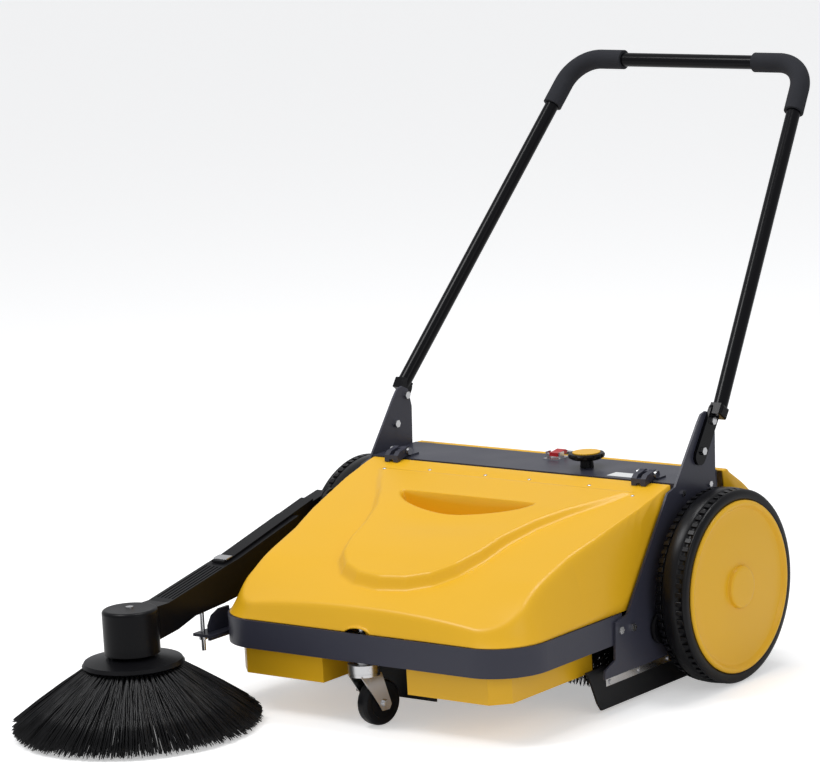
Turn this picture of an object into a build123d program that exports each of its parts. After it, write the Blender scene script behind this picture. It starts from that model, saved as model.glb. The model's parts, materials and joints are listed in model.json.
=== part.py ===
# Walk behind sweeper: push handle, grey frame, yellow hood, two driving wheels, front caster,
# main brush under the hood and a side brush on an arm.
# Sizes are in millimetres. The axle line of the driving wheels is at y = 0 while the part is drawn,
# and every piece is moved by the same shift when it is saved.
from build123d import *
from math import asin, atan2, cos, radians, sin, sqrt
import os

os.makedirs("parts", exist_ok=True)

SHIFT_X = 76.5           # puts the middle of the bounding box over the origin
SHIFT_Y = 182.05

# frame
PLATE_IN = 321.0         # inner face of each side plate
PLATE_OUT = 325.0        # outer face of each side plate
PLATE_THICK = PLATE_OUT - PLATE_IN
BRIDGE_TOP = 346.0       # top face of the bridge plate
BRIDGE_THICK = 3.0
BRIDGE_FRONT = -58.0
BRIDGE_REAR = 68.0
BAND_FRONT = -530.0      # outer front face of the front band
BAND_REAR = -228.0
BAND_LOW = 114.0
BAND_HIGH = 162.0
BAND_THICK = 4.0
BAND_CORNER = 90.0
BAND_OUT = PLATE_IN - 0.2

# driving wheels
WHEEL_R = 165.0
DISC_R = 146.0
AXLE_Z = WHEEL_R
AXLE_R = 10.0
TYRE_IN = 339.0
TYRE_OUT = 402.0
DISC_FACE = 409.0
WHEEL_PULLEY_R = 44.0
RUN_FIT = 0.05           # radial clearance of a running fit

# main brush and its belt
BRUSH_Y = -130.0
BRUSH_Z = 118.0
BRUSH_R = 116.5
BRUSH_HALF = 282.0
BRUSH_CORE_R = 34.0
SHAFT_R = 8.0
BRUSH_PULLEY_R = 28.0
PULLEY_IN = 328.0        # inner face of each pulley
PULLEY_OUT = 338.0
BELT_HALF = 2.6          # half of the belt's width and thickness
BELT_GAP = 0.35

# hood
HOOD_HALF = 318.0
HOOD_REAR = -63.0
HOOD_REAR_TOP = 346.0
HOOD_FRONT = -526.0
HOOD_LOW = 163.0
HOOD_WALL = 3.0
HOOD_CORNER = 86.0
HINGE_Y = -50.0
HINGE_Z = 357.0
HINGE_X = 262.0          # middle of each hood hinge
HINGE_PIN_R = 4.0

# dust bin
BIN_HALF = 280.0
BIN_FRONT = -512.0
BIN_REAR = -262.0
BIN_LOW = 66.0
BIN_HIGH = 152.0
BIN_WALL = 3.0
RECESS_HALF = 88.0
RECESS_DEPTH = 82.0

# handle
HANDLE_TUBE_R = 12.5
HANDLE_WALL = 1.5
STRAP_THICK = 6.0
LEG_X = PLATE_OUT + HANDLE_TUBE_R + 0.2
LEG_LOW_Y, LEG_LOW_Z = 55.8, 445.2
BAR_X, BAR_Y, BAR_Z = 246.4, 514.4, 981.7
HANDLE_BEND = 62.0
BOLT_LOW_Y, BOLT_LOW_Z = 14.7, 388.5
BOLT_HIGH_Y, BOLT_HIGH_Z = 47.8, 434.2
GRIP_R = 17.5
GRIP_ON_BAR = 105.0      # how far each grip runs along the bar from the corner
GRIP_ON_LEG = 102.0

# caster
SWIVEL_Y = -512.0
CASTER_R = 39.0
CASTER_HALF = 12.0
CASTER_TRAIL = 26.5
CASTER_YAW = 11.0        # degrees that the fork is turned at rest
RACE_TOP = 110.0

# side brush arm
PIVOT_Y = -165.0
PIVOT_Z = 281.0
PIVOT_PIN_R = 8.0
ARM_IN = -341.0
ARM_OUT = -368.0
HEAD_X, HEAD_Y = -352.0, -684.0
HEAD_R = 47.0
HEAD_LOW = 130.0
HEAD_TOP = 205.0
SIDE_PLATE_R = 86.0
SIDE_BRUSH_R = 212.0
SIDE_RIM_Z = 16.0
SIDE_SHAFT_R = 8.0

# skirts
SKIRT_IN = 300.0
SKIRT_OUT = 304.0
SKIRT_FLOOR_GAP = 6.0


def save(shape, label):
    moved = Pos(SHIFT_X, SHIFT_Y, 0) * shape
    moved.label = label
    export_step(moved, f"parts/{label}.step")


def save_group(shapes, label):
    """Separate solids that share one node."""
    group = Compound(children=[Pos(SHIFT_X, SHIFT_Y, 0) * shape for shape in shapes])
    group.label = label
    export_step(group, f"parts/{label}.step")


def slab(points, x_low, x_high, round_by=0.0):
    """A flat piece with an outline in (y, z), from x_low to x_high."""
    with BuildPart() as piece:
        with BuildSketch(Plane.YZ.offset(x_low)):
            with BuildLine():
                Polyline(*points, close=True)
            make_face()
        extrude(amount=x_high - x_low)
        if round_by > 0:
            fillet(piece.edges().filter_by(Axis.X), radius=round_by)
    return piece.part


def rod_x(y, z, x_low, x_high, radius):
    """A round bar along X."""
    with BuildPart() as bar:
        with BuildSketch(Plane.YZ.offset(x_low)):
            with Locations((y, z)):
                Circle(radius)
        extrude(amount=x_high - x_low)
    return bar.part


def rod_z(x, y, z_low, z_high, radius):
    """A round bar along Z."""
    with BuildPart() as bar:
        with BuildSketch(Plane.XY.offset(z_low)):
            with Locations((x, y)):
                Circle(radius)
        extrude(amount=z_high - z_low)
    return bar.part


def box(x_low, x_high, y_low, y_high, z_low, z_high):
    """A plain block given by its limits."""
    with BuildPart() as block:
        with Locations(((x_low + x_high) / 2, (y_low + y_high) / 2, (z_low + z_high) / 2)):
            Box(x_high - x_low, y_high - y_low, z_high - z_low)
    return block.part


def hex_bolt(side, y, z, x_start, x_end, radius):
    """A bolt along X through the side plate: shank, hexagon head outside, nut inside."""
    low, high = sorted((side * x_start, side * x_end))
    head_from = side * x_end if side > 0 else side * x_end - radius * 1.1
    nut_from = side * x_start - radius * 1.2 if side > 0 else side * x_start
    with BuildPart() as bolt:
        with BuildSketch(Plane.YZ.offset(low)):
            with Locations((y, z)):
                Circle(radius)
        extrude(amount=high - low)
        with BuildSketch(Plane.YZ.offset(head_from)):
            with Locations((y, z)):
                RegularPolygon(radius * 1.75, 6)
        extrude(amount=radius * 1.1)
        with BuildSketch(Plane.YZ.offset(nut_from)):
            with Locations((y, z)):
                RegularPolygon(radius * 1.75, 6)
        extrude(amount=radius * 1.2)
    return bolt.part


def at(points, radius):
    """Round cutters along X, long enough for either plate."""
    cutters = [rod_x(y, z, -PLATE_OUT - 10, PLATE_OUT + 10, radius) for y, z in points]
    return cutters


# ---------------------------------------------------------------- frame
PLATE_OUTLINE = [
    (-290, 64), (-288, 78), (-258, 90), (-253, 152), (-218, 158), (-86, 335), (-63, 341),
    (12, 436), (24, 449), (38, 452), (54, 444), (62, 412), (58, 340), (62, 300), (142, 250),
    (160, 200), (160, 64),
]
PLATE_BOLTS = [(BOLT_LOW_Y, BOLT_LOW_Z), (BOLT_HIGH_Y, BOLT_HIGH_Z)]
TAB_BOLTS = [(-241, 137), (-206, 134)]
SMALL_BOLTS = [(-42, 327), (40, 327)]
PLATE_BOLT_R = 4.0
SMALL_BOLT_R = 3.0
CAP_NUT = (32, 312)


def side_plate(side):
    x_low = PLATE_IN if side > 0 else -PLATE_OUT
    plate = slab(PLATE_OUTLINE, x_low, x_low + PLATE_THICK)
    for cutter in at(PLATE_BOLTS + TAB_BOLTS, PLATE_BOLT_R + 0.3):
        plate = plate - cutter
    for cutter in at(SMALL_BOLTS + [CAP_NUT], SMALL_BOLT_R + 0.3):
        plate = plate - cutter
    plate = plate - rod_x(0, AXLE_Z, -400, 400, AXLE_R + 0.2)
    plate = plate - rod_x(BRUSH_Y, BRUSH_Z, -400, 400, 14)
    if side < 0:
        plate = plate - rod_x(PIVOT_Y, PIVOT_Z, -400, 0, PIVOT_PIN_R + 0.2)
    return plate


save(side_plate(1), "side_plate_right")
# the left plate reaches further forward at the top, so that it carries the arm's pivot
left_ear = slab([(-215, 235), (-190, 300), (-140, 300), (-80, 330), (-100, 230)], -PLATE_OUT, -PLATE_IN)
left_ear = left_ear - rod_x(PIVOT_Y, PIVOT_Z, -400, 0, PIVOT_PIN_R + 0.2)
save(side_plate(-1) + left_ear, "side_plate_left")

# bridge plate, folded down at the front and the rear
bridge = slab(
    [(BRIDGE_FRONT, 325), (BRIDGE_FRONT, BRIDGE_TOP), (BRIDGE_REAR, BRIDGE_TOP), (BRIDGE_REAR, 318),
     (BRIDGE_REAR - BRIDGE_THICK, 318), (BRIDGE_REAR - BRIDGE_THICK, BRIDGE_TOP - BRIDGE_THICK),
     (BRIDGE_FRONT + BRIDGE_THICK, BRIDGE_TOP - BRIDGE_THICK), (BRIDGE_FRONT + BRIDGE_THICK, 325)],
    -PLATE_IN, PLATE_IN,
)
KNOB_X, KNOB_Y = 101.0, 0.0
bridge = bridge - rod_z(KNOB_X, KNOB_Y, 300, 400, 6.0)
# end tabs that the small plate bolts hold
for tab_side in (-1, 1):
    for tab_y, tab_z in SMALL_BOLTS:
        tab_x = sorted((tab_side * PLATE_IN, tab_side * (PLATE_IN - 3)))
        tab = box(tab_x[0], tab_x[1], tab_y - 12, tab_y + 12, 318, BRIDGE_TOP - BRIDGE_THICK)
        bridge = bridge + (tab - rod_x(tab_y, tab_z, -400, 400, SMALL_BOLT_R + 0.3))
# upright ears that carry the hood's hinge pins
for ear_side in (-1, 1):
    mid = ear_side * HINGE_X
    ear = slab([(-56, BRIDGE_TOP), (-56, 363), (-44, 363), (-41, 349), (-18, 349), (-18, BRIDGE_TOP)],
               mid - 4, mid + 4)
    ear = ear + box(mid - 14, mid + 14, -41, -18, BRIDGE_TOP, BRIDGE_TOP + 3)
    bridge = bridge + (ear - rod_x(HINGE_Y, HINGE_Z, mid - 20, mid + 20, HINGE_PIN_R + 0.05))
save(bridge, "bridge_plate")

with BuildPart() as front_band:
    with BuildSketch(Plane.XY.offset(BAND_LOW)) as band_outline:
        with Locations((0, (BAND_FRONT + BAND_REAR) / 2)):
            Rectangle(2 * BAND_OUT, BAND_REAR - BAND_FRONT)
        fillet(band_outline.vertices().group_by(Axis.Y)[0], radius=BAND_CORNER)
    extrude(amount=BAND_HIGH - BAND_LOW)
    with BuildSketch(Plane.XY.offset(BAND_LOW)) as band_inside:
        with Locations((0, (BAND_FRONT + BAND_REAR) / 2 + BAND_THICK)):
            Rectangle(2 * (BAND_OUT - BAND_THICK), BAND_REAR - BAND_FRONT)
        fillet(band_inside.vertices().group_by(Axis.Y)[0], radius=BAND_CORNER - BAND_THICK)
    extrude(amount=BAND_HIGH - BAND_LOW, mode=Mode.SUBTRACT)
band = front_band.part
for cutter in at(TAB_BOLTS, PLATE_BOLT_R + 0.3):
    band = band - cutter
save(band, "front_band")

# cross bar behind the band that the caster's stem goes through
STEM_R = 6.0
with BuildPart() as caster_bracket:
    with BuildSketch(Plane.XY.offset(RACE_TOP + 4.5)) as bracket_plan:
        with Locations((0, -494.1)):
            Rectangle(96, 63.8)
        with Locations((0, SWIVEL_Y)):
            Circle(STEM_R + 0.3, mode=Mode.SUBTRACT)
    extrude(amount=5)
    for rib_x in (-46, 46):
        with Locations((rib_x, -494, 137)):
            Box(4, 63, 36)
    fillet(caster_bracket.edges().filter_by(Axis.Z).group_by(Axis.Y)[-1], radius=1.5)
save(caster_bracket.part, "caster_bracket")

# half round sheet over the main brush
HOUSING_R = 122.0
HOUSING_HALF = 297.0
with BuildPart() as brush_housing:
    with BuildSketch(Plane.YZ.offset(-HOUSING_HALF)) as housing_profile:
        with Locations((BRUSH_Y, BRUSH_Z)):
            Circle(HOUSING_R + 2)
            Circle(HOUSING_R, mode=Mode.SUBTRACT)
        with Locations((BRUSH_Y, BRUSH_Z - 70)):
            Rectangle(300, 140, mode=Mode.SUBTRACT)
        with Locations((BRUSH_Y - 125, BRUSH_Z + 20)):
            Rectangle(60, 40, mode=Mode.SUBTRACT)
    extrude(amount=2 * HOUSING_HALF)
housing = brush_housing.part
for link_side in (-1, 1):
    link = sorted((link_side * PLATE_IN, link_side * HOUSING_HALF))
    housing = housing + box(link[0], link[1], BRUSH_Y + 116, BRUSH_Y + 125, 120, 142)
save(housing, "brush_housing")

# the brush bearings, on the inner faces of the side plates
bearings = []
for bearing_side in (-1, 1):
    inner = sorted((bearing_side * PLATE_IN, bearing_side * (PLATE_IN - 18)))
    block = box(inner[0], inner[1], BRUSH_Y - 26, BRUSH_Y + 26, BRUSH_Z - 26, BRUSH_Z + 26)
    bearings.append(block - rod_x(BRUSH_Y, BRUSH_Z, -400, 400, SHAFT_R + RUN_FIT))
save_group(bearings, "brush_bearings")

# fixed stub axles with a flange inside the side plate
axles = []
for axle_side in (-1, 1):
    ends = sorted((axle_side * 312, axle_side * 398))
    axle = rod_x(0, AXLE_Z, ends[0], ends[1], AXLE_R)
    nut = sorted((axle_side * 312, axle_side * PLATE_IN))
    axles.append(axle + rod_x(0, AXLE_Z, nut[0], nut[1], 16))
save_group(axles, "axles")

# ---------------------------------------------------------------- bolts of the frame
bolts = []
for bolt_side in (-1, 1):
    for bolt_y, bolt_z in TAB_BOLTS:
        bolts.append(hex_bolt(bolt_side, bolt_y, bolt_z, BAND_OUT - BAND_THICK, PLATE_OUT, PLATE_BOLT_R))
    for bolt_y, bolt_z in SMALL_BOLTS:
        bolts.append(hex_bolt(bolt_side, bolt_y, bolt_z, PLATE_IN - 3, PLATE_OUT, SMALL_BOLT_R))
save_group(bolts, "plate_bolts")

cap_nuts = []
for bolt_side in (-1, 1):
    nut_x = sorted((bolt_side * PLATE_OUT, bolt_side * (PLATE_OUT + 4)))
    shank_x = sorted((bolt_side * (PLATE_IN - 6), bolt_side * PLATE_OUT))
    cap = rod_x(CAP_NUT[0], CAP_NUT[1], nut_x[0], nut_x[1], 7)
    cap = cap + rod_x(CAP_NUT[0], CAP_NUT[1], shank_x[0], shank_x[1], SMALL_BOLT_R)
    dome_x = bolt_side * (PLATE_OUT + 4)
    dome = Pos(dome_x, CAP_NUT[0], CAP_NUT[1]) * Sphere(5)
    cap_nuts.append(cap + dome)
save_group(cap_nuts, "cap_nuts")

# ---------------------------------------------------------------- handle
with BuildPart() as handle:
    with BuildLine() as handle_path:
        FilletPolyline(
            (LEG_X, LEG_LOW_Y, LEG_LOW_Z), (BAR_X, BAR_Y, BAR_Z),
            (-BAR_X, BAR_Y, BAR_Z), (-LEG_X, LEG_LOW_Y, LEG_LOW_Z), radius=HANDLE_BEND,
        )
    with BuildSketch(Plane(origin=handle_path.line @ 0, z_dir=handle_path.line % 0)):
        Circle(HANDLE_TUBE_R)
        Circle(HANDLE_TUBE_R - HANDLE_WALL, mode=Mode.SUBTRACT)
    sweep(path=handle_path.line)
handle_shape = handle.part
leg_rise = Vector(0, BOLT_HIGH_Y - BOLT_LOW_Y, BOLT_HIGH_Z - BOLT_LOW_Z).normalized()
for strap_side in (-1, 1):
    strap_plane = Plane(
        origin=(strap_side * PLATE_OUT, BOLT_LOW_Y, BOLT_LOW_Z),
        x_dir=(0, leg_rise.Y, leg_rise.Z), z_dir=(strap_side, 0, 0),
    )
    with BuildPart() as strap:
        with BuildSketch(strap_plane):
            with Locations((31, 0)):
                SlotOverall(112, 30)
        extrude(amount=STRAP_THICK)
    shape = strap.part
    # the strap swells into the tube
    with BuildPart() as neck:
        with BuildSketch(strap_plane):
            with Locations((75, 0)):
                Rectangle(20, 2 * HANDLE_TUBE_R)
        extrude(amount=2 * HANDLE_TUBE_R)
        fillet(neck.faces().sort_by(Axis.X)[-1 if strap_side > 0 else 0].edges(), radius=5)
    handle_shape = handle_shape + shape + neck.part
for cutter in at(PLATE_BOLTS, PLATE_BOLT_R + 0.3):
    handle_shape = handle_shape - cutter
save(handle_shape, "push_handle")

handle_bolts = []
for bolt_side in (-1, 1):
    for bolt_y, bolt_z in PLATE_BOLTS:
        handle_bolts.append(hex_bolt(bolt_side, bolt_y, bolt_z, PLATE_IN, PLATE_OUT + STRAP_THICK, PLATE_BOLT_R))
save_group(handle_bolts, "handle_bolts")

leg_line = Vector(BAR_X - LEG_X, BAR_Y - LEG_LOW_Y, BAR_Z - LEG_LOW_Z).normalized()
for grip_side, grip_name in ((-1, "left"), (1, "right")):
    with BuildPart() as grip:
        with BuildLine() as grip_path:
            FilletPolyline(
                (grip_side * (BAR_X - leg_line.X * GRIP_ON_LEG), BAR_Y - leg_line.Y * GRIP_ON_LEG,
                 BAR_Z - leg_line.Z * GRIP_ON_LEG),
                (grip_side * BAR_X, BAR_Y, BAR_Z),
                (grip_side * (BAR_X - GRIP_ON_BAR), BAR_Y, BAR_Z), radius=HANDLE_BEND,
            )
        with BuildSketch(Plane(origin=grip_path.line @ 0, z_dir=grip_path.line % 0)):
            Circle(GRIP_R)
            Circle(HANDLE_TUBE_R + 0.05, mode=Mode.SUBTRACT)
        sweep(path=grip_path.line)
    save(grip.part, f"grip_{grip_name}")

# ---------------------------------------------------------------- hood
HOOD_LINE = [
    (HOOD_REAR, HOOD_LOW), (HOOD_REAR, HOOD_REAR_TOP), (-104, 334), (-210, 306), (-300, 281),
    (-390, 251), (-455, 224), (-500, 199), (HOOD_FRONT, 183), (HOOD_FRONT, HOOD_LOW),
]
with BuildPart() as hood_block:
    with BuildSketch(Plane.YZ.offset(-HOOD_HALF)):
        with BuildLine():
            Polyline(*HOOD_LINE, close=True)
        make_face()
    extrude(amount=2 * HOOD_HALF)
    with BuildSketch(Plane.XY) as hood_plan:
        with Locations((0, (HOOD_FRONT + HOOD_REAR) / 2)):
            Rectangle(2 * HOOD_HALF, HOOD_REAR - HOOD_FRONT)
        fillet(hood_plan.vertices().group_by(Axis.Y)[0], radius=HOOD_CORNER)
    extrude(amount=400, mode=Mode.INTERSECT)
hood_outer = hood_block.part
with BuildPart() as hood_core:
    with BuildSketch(Plane.YZ.offset(-HOOD_HALF)):
        with BuildLine():
            Polyline(
                (HOOD_REAR - HOOD_WALL, 0), *[(y - HOOD_WALL, z - HOOD_WALL * 1.1) for y, z in HOOD_LINE[1:2]],
                *[(y + 0.8, z - HOOD_WALL * 1.05) for y, z in HOOD_LINE[2:8]],
                (HOOD_FRONT + HOOD_WALL, 179), (HOOD_FRONT + HOOD_WALL, 0), close=True,
            )
        make_face()
    extrude(amount=2 * HOOD_HALF)
    with BuildSketch(Plane.XY) as core_plan:
        with Locations((0, (HOOD_FRONT + HOOD_REAR) / 2)):
            Rectangle(2 * (HOOD_HALF - HOOD_WALL), HOOD_REAR - HOOD_FRONT - 2 * HOOD_WALL)
        fillet(core_plan.vertices().group_by(Axis.Y)[0], radius=HOOD_CORNER - HOOD_WALL)
    extrude(amount=400, mode=Mode.INTERSECT)
hood = hood_outer - hood_core.part
# the rear wall is only a short lip, so the hood stays clear of the brush housing
hood = hood - box(-HOOD_HALF + 6, HOOD_HALF - 6, -80, -40, 0, 326)
# the raised middle panel and the finger recess in it
with BuildPart() as panel:
    with BuildSketch(Plane.XY.offset(200)) as panel_plan:
        with BuildLine():
            Polyline((-235, -112), (235, -112), (150, -300), (95, -395), (0, -425), (-95, -395), (-150, -300),
                     close=True)
        make_face()
    extrude(amount=200)
panel_block = panel.part
panel_slab = slab(
    [(-110, 331), (-110, 337), (-210, 314), (-300, 288), (-390, 257), (-430, 240), (-430, 231), (-300, 278),
     (-210, 304)], -300, 300,
)
hood = hood + (panel_block & panel_slab)
RECESS_X = 5.0
recess_out = slab([(-138, 345), (-138, 268), (-236, 268), (-236, 345)], RECESS_X - 128, RECESS_X + 128)
recess_in = slab([(-141, 345), (-141, 271), (-170, 271), (-233, 309), (-233, 345)], RECESS_X - 125, RECESS_X + 125)
under_top = slab([(-60, 342), (-104, 331), (-210, 304), (-300, 278), (-300, 200), (-60, 200)], -300, 300)
hood = hood + (recess_out & under_top)
hood = hood - recess_in
# the arched notch over the caster's stem
hood = hood - (Pos(0, HOOD_FRONT, HOOD_LOW - 14) * Rot(90, 0, 0) * Cylinder(24, 12))

HOOD_SCREWS = [(-252, -96), (-168, -96), (-60, -96), (60, -96), (168, -96), (246, -96)]
screws = []
for screw_x, screw_y in HOOD_SCREWS:
    screws.append(rod_z(screw_x, screw_y, 331.0, 338.4, 3.6))
    hood = hood - rod_z(screw_x, screw_y, 320.0, 342.0, 3.6)
save(hood, "hood")
save_group(screws, "hood_screws")

# hinges of the hood: two knuckles of a leaf on the hood, either side of each ear, on one pin
leaves = []
hinge_pins = []
for hinge_side in (-1, 1):
    mid = hinge_side * HINGE_X
    leaf = box(mid - 14.5, mid + 14.5, -80, -70, 346.5, 354)
    for leaf_x in (mid - 9.5, mid + 9.5):
        knuckle = rod_x(HINGE_Y, HINGE_Z, leaf_x - 5, leaf_x + 5, 8)
        knuckle = knuckle + slab([(-50, 350.4), (-50, 364), (-72, 360), (-80, 353), (-80, 340), (-72, 344)],
                                 leaf_x - 5, leaf_x + 5)
        knuckle = knuckle - rod_x(HINGE_Y, HINGE_Z, leaf_x - 8, leaf_x + 8, HINGE_PIN_R + 0.05)
        under = slab([(-40, 338), (-62.5, 347), (-66, 346.4), (-110, 332.7), (-110, 300), (-40, 300)],
                     leaf_x - 6, leaf_x + 6)
        leaf = leaf + (knuckle - under)
    leaves.append(leaf)
    pin = rod_x(HINGE_Y, HINGE_Z, mid - 20, mid + 20, HINGE_PIN_R)
    for nut_from in (mid - 20, mid + 15.5):
        pin = pin + rod_x(HINGE_Y, HINGE_Z, nut_from, nut_from + 4.5, 6.5)
    hinge_pins.append(pin)
save_group(leaves, "hinge_leaves")
save_group(hinge_pins, "hinge_pins")

# ---------------------------------------------------------------- dust bin
with BuildPart() as dust_bin:
    with BuildSketch(Plane.XY.offset(BIN_LOW)) as bin_plan:
        with Locations((0, (BIN_FRONT + BIN_REAR) / 2)):
            Rectangle(2 * BIN_HALF, BIN_REAR - BIN_FRONT)
        chamfer(bin_plan.vertices().group_by(Axis.Y)[0], length=28)
        with Locations((0, BIN_FRONT + RECESS_DEPTH / 2)):
            Rectangle(2 * RECESS_HALF, RECESS_DEPTH, mode=Mode.SUBTRACT)
    extrude(amount=BIN_HIGH - BIN_LOW)
    with BuildSketch(Plane.XY.offset(BIN_LOW + BIN_WALL)) as bin_hollow:
        with Locations((0, (BIN_FRONT + BIN_REAR) / 2)):
            Rectangle(2 * (BIN_HALF - BIN_WALL), BIN_REAR - BIN_FRONT - 2 * BIN_WALL)
        chamfer(bin_hollow.vertices().group_by(Axis.Y)[0], length=27)
        with Locations((0, BIN_FRONT + RECESS_DEPTH / 2 + BIN_WALL / 2)):
            Rectangle(2 * (RECESS_HALF + BIN_WALL), RECESS_DEPTH + BIN_WALL, mode=Mode.SUBTRACT)
    extrude(amount=BIN_HIGH - BIN_LOW, mode=Mode.SUBTRACT)
bin_shape = dust_bin.part
# the rear wall is low, so that the main brush throws over it
bin_shape = bin_shape - box(-BIN_HALF + 8, BIN_HALF - 8, BIN_REAR - 10, BIN_REAR + 10, 100, 200)
save(bin_shape, "dust_bin")

with BuildPart() as bin_handle:
    with BuildLine() as bin_handle_path:
        FilletPolyline((-110, -380, BIN_LOW + BIN_WALL), (-110, -380, 176), (110, -380, 176),
                       (110, -380, BIN_LOW + BIN_WALL), radius=20)
    with BuildSketch(Plane(origin=bin_handle_path.line @ 0, z_dir=bin_handle_path.line % 0)):
        Circle(5)
    sweep(path=bin_handle_path.line)
save(bin_handle.part, "bin_handle")

# rails that the bin hangs on, on the inner faces of the side plates and the band
bin_rails = []
for rail_side in (-1, 1):
    rail_x = sorted((rail_side * BIN_HALF, rail_side * (BAND_OUT - BAND_THICK)))
    bin_rails.append(box(rail_x[0], rail_x[1], -440, -252, 118, 124))
save_group(bin_rails, "bin_rails")

# ---------------------------------------------------------------- skirts
skirts = []
skirt_rails = [box(-PLATE_IN, PLATE_IN, 138, 141, 70, 104)]
for skirt_side in (-1, 1):
    rubber_x = sorted((skirt_side * SKIRT_IN, skirt_side * SKIRT_OUT))
    skirts.append(slab([(-312, 78), (-300, 58), (-284, 20), (-274, SKIRT_FLOOR_GAP), (134, SKIRT_FLOOR_GAP),
                        (134, 78)], rubber_x[0], rubber_x[1]))
    leg_x = sorted((skirt_side * SKIRT_OUT, skirt_side * (SKIRT_OUT + 2.5)))
    foot_x = sorted((skirt_side * SKIRT_OUT, skirt_side * PLATE_IN))
    rail = box(leg_x[0], leg_x[1], -262, 134, 44, 66.5)
    skirt_rails.append(rail + box(foot_x[0], foot_x[1], -262, 134, 64, 66.5))
save_group(skirts, "skirts")
save_group(skirt_rails, "skirt_rails")
rear_flap = box(-296, 296, 134, 138, SKIRT_FLOOR_GAP, 96)
flap_y = BIN_FRONT + RECESS_DEPTH
front_flap = box(-RECESS_HALF + 4, RECESS_HALF - 4, flap_y - 3, flap_y, 34, 100)
save_group([front_flap, rear_flap], "rubber_flaps")
skirt_screws = []
for screw_side in (-1, 1):
    for screw_y in (-250, -165, -80, 20, 110):
        head = sorted((screw_side * (SKIRT_OUT + 2.5), screw_side * (SKIRT_OUT + 5)))
        skirt_screws.append(rod_x(screw_y, 50, head[0], head[1], 4))
save_group(skirt_screws, "skirt_screws")

# ---------------------------------------------------------------- rear cover
COVER_HALF = 329.5
COVER_HINGE_Y, COVER_HINGE_Z = 206.0, 74.0
cover_outer = slab([(76, 344), (76, 300), (160, 240), (176, 84), (216, 84), (212, 190), (192, 250), (152, 298),
                    (96, 338), (92, 344)], -COVER_HALF, COVER_HALF)
cover_inner = slab([(60, 341), (60, 200), (150, 84), (150, 60), (213, 60), (209, 188), (189, 248), (150, 294.5),
                    (95, 334), (91, 341)], -COVER_HALF + 3, COVER_HALF - 3)
cover = cover_outer - cover_inner
save(cover, "rear_cover")
lugs = rod_x(COVER_HINGE_Y, COVER_HINGE_Z, -240, 240, 3)
for lug_x in (-220, 220):
    lug = slab([(141, 74), (141, 92), (200, 80), (212, 74), (206, 68), (198, 68)], lug_x - 4, lug_x + 4)
    lugs = lugs + lug
save(lugs, "cover_hinge_lugs")
knuckles = []
for knuckle_x in (-200, 200):
    knuckle = rod_x(COVER_HINGE_Y, COVER_HINGE_Z, knuckle_x - 12, knuckle_x + 12, 6)
    knuckle = knuckle + box(knuckle_x - 12, knuckle_x + 12, 206, 211.4, 74, 84)
    knuckle = knuckle + box(knuckle_x - 12, knuckle_x + 12, 208, 211.4, 80, 104)
    knuckle = knuckle - rod_x(COVER_HINGE_Y, COVER_HINGE_Z, -300, 300, 3.05)
    knuckles.append(knuckle)
save_group(knuckles, "cover_hinge_knuckles")

# ---------------------------------------------------------------- knob, latch and label on the bridge plate
KNOB_TOP = 373.0
with BuildPart() as knob:
    with BuildSketch(Plane.XZ) as knob_profile:
        with BuildLine():
            Polyline((0, BRIDGE_TOP + 0.6), (12, BRIDGE_TOP + 0.6), (11, 358), (26, 361), (31, 364), (32, 368),
                     (30, 371), (25, 371.4), (0, 371.4), close=True)
        make_face()
    revolve(axis=Axis.Z)
    with PolarLocations(35, 12):
        Cylinder(5, 800, mode=Mode.SUBTRACT)
knob_rod = rod_z(KNOB_X, KNOB_Y, 300, BRIDGE_TOP + 0.6, 5.95)
save(Pos(KNOB_X, KNOB_Y, 0) * knob.part + knob_rod, "knob")
save(rod_z(KNOB_X, KNOB_Y, 371.4, KNOB_TOP, 24), "knob_cap")

LATCH_X = 5.0
LATCH_PIN_Y, LATCH_PIN_Z = 40.0, 353.0
latch_base = box(LATCH_X - 16, LATCH_X + 16, 26, 62, BRIDGE_TOP, BRIDGE_TOP + 1.5)
for cheek_x in (-14, 14):
    cheek = box(LATCH_X + cheek_x - 1.5, LATCH_X + cheek_x + 1.5, 34, 46, BRIDGE_TOP, 358)
    latch_base = latch_base + cheek
latch_base = latch_base + rod_x(LATCH_PIN_Y, LATCH_PIN_Z, LATCH_X - 14, LATCH_X + 14, 2.5)
save(latch_base, "latch_base")
lever = slab([(36, 350), (46, 350), (62, 352), (66, 356), (60, 359), (46, 357), (36, 356.5)],
             LATCH_X - 9, LATCH_X + 9)
lever = lever - rod_x(LATCH_PIN_Y, LATCH_PIN_Z, LATCH_X - 30, LATCH_X + 30, 2.55)
save(lever, "latch_lever")
save(box(LATCH_X - 12, LATCH_X + 12, 80, 90, 344, 350), "latch_keeper")
save(box(174, 244, -46, -18, BRIDGE_TOP, BRIDGE_TOP + 0.5), "label_plate")

# ---------------------------------------------------------------- wheels

def turned(profile, side, y, z):
    """A round part on an axle along X. The profile is (x, radius), x measured outwards."""
    with BuildPart() as round_part:
        with BuildSketch(Plane.XY):
            with BuildLine():
                Polyline(*[(side * px, pr) for px, pr in profile], close=True)
            make_face()
        revolve(axis=Axis.X)
    return Pos(0, y, z) * round_part.part


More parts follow.
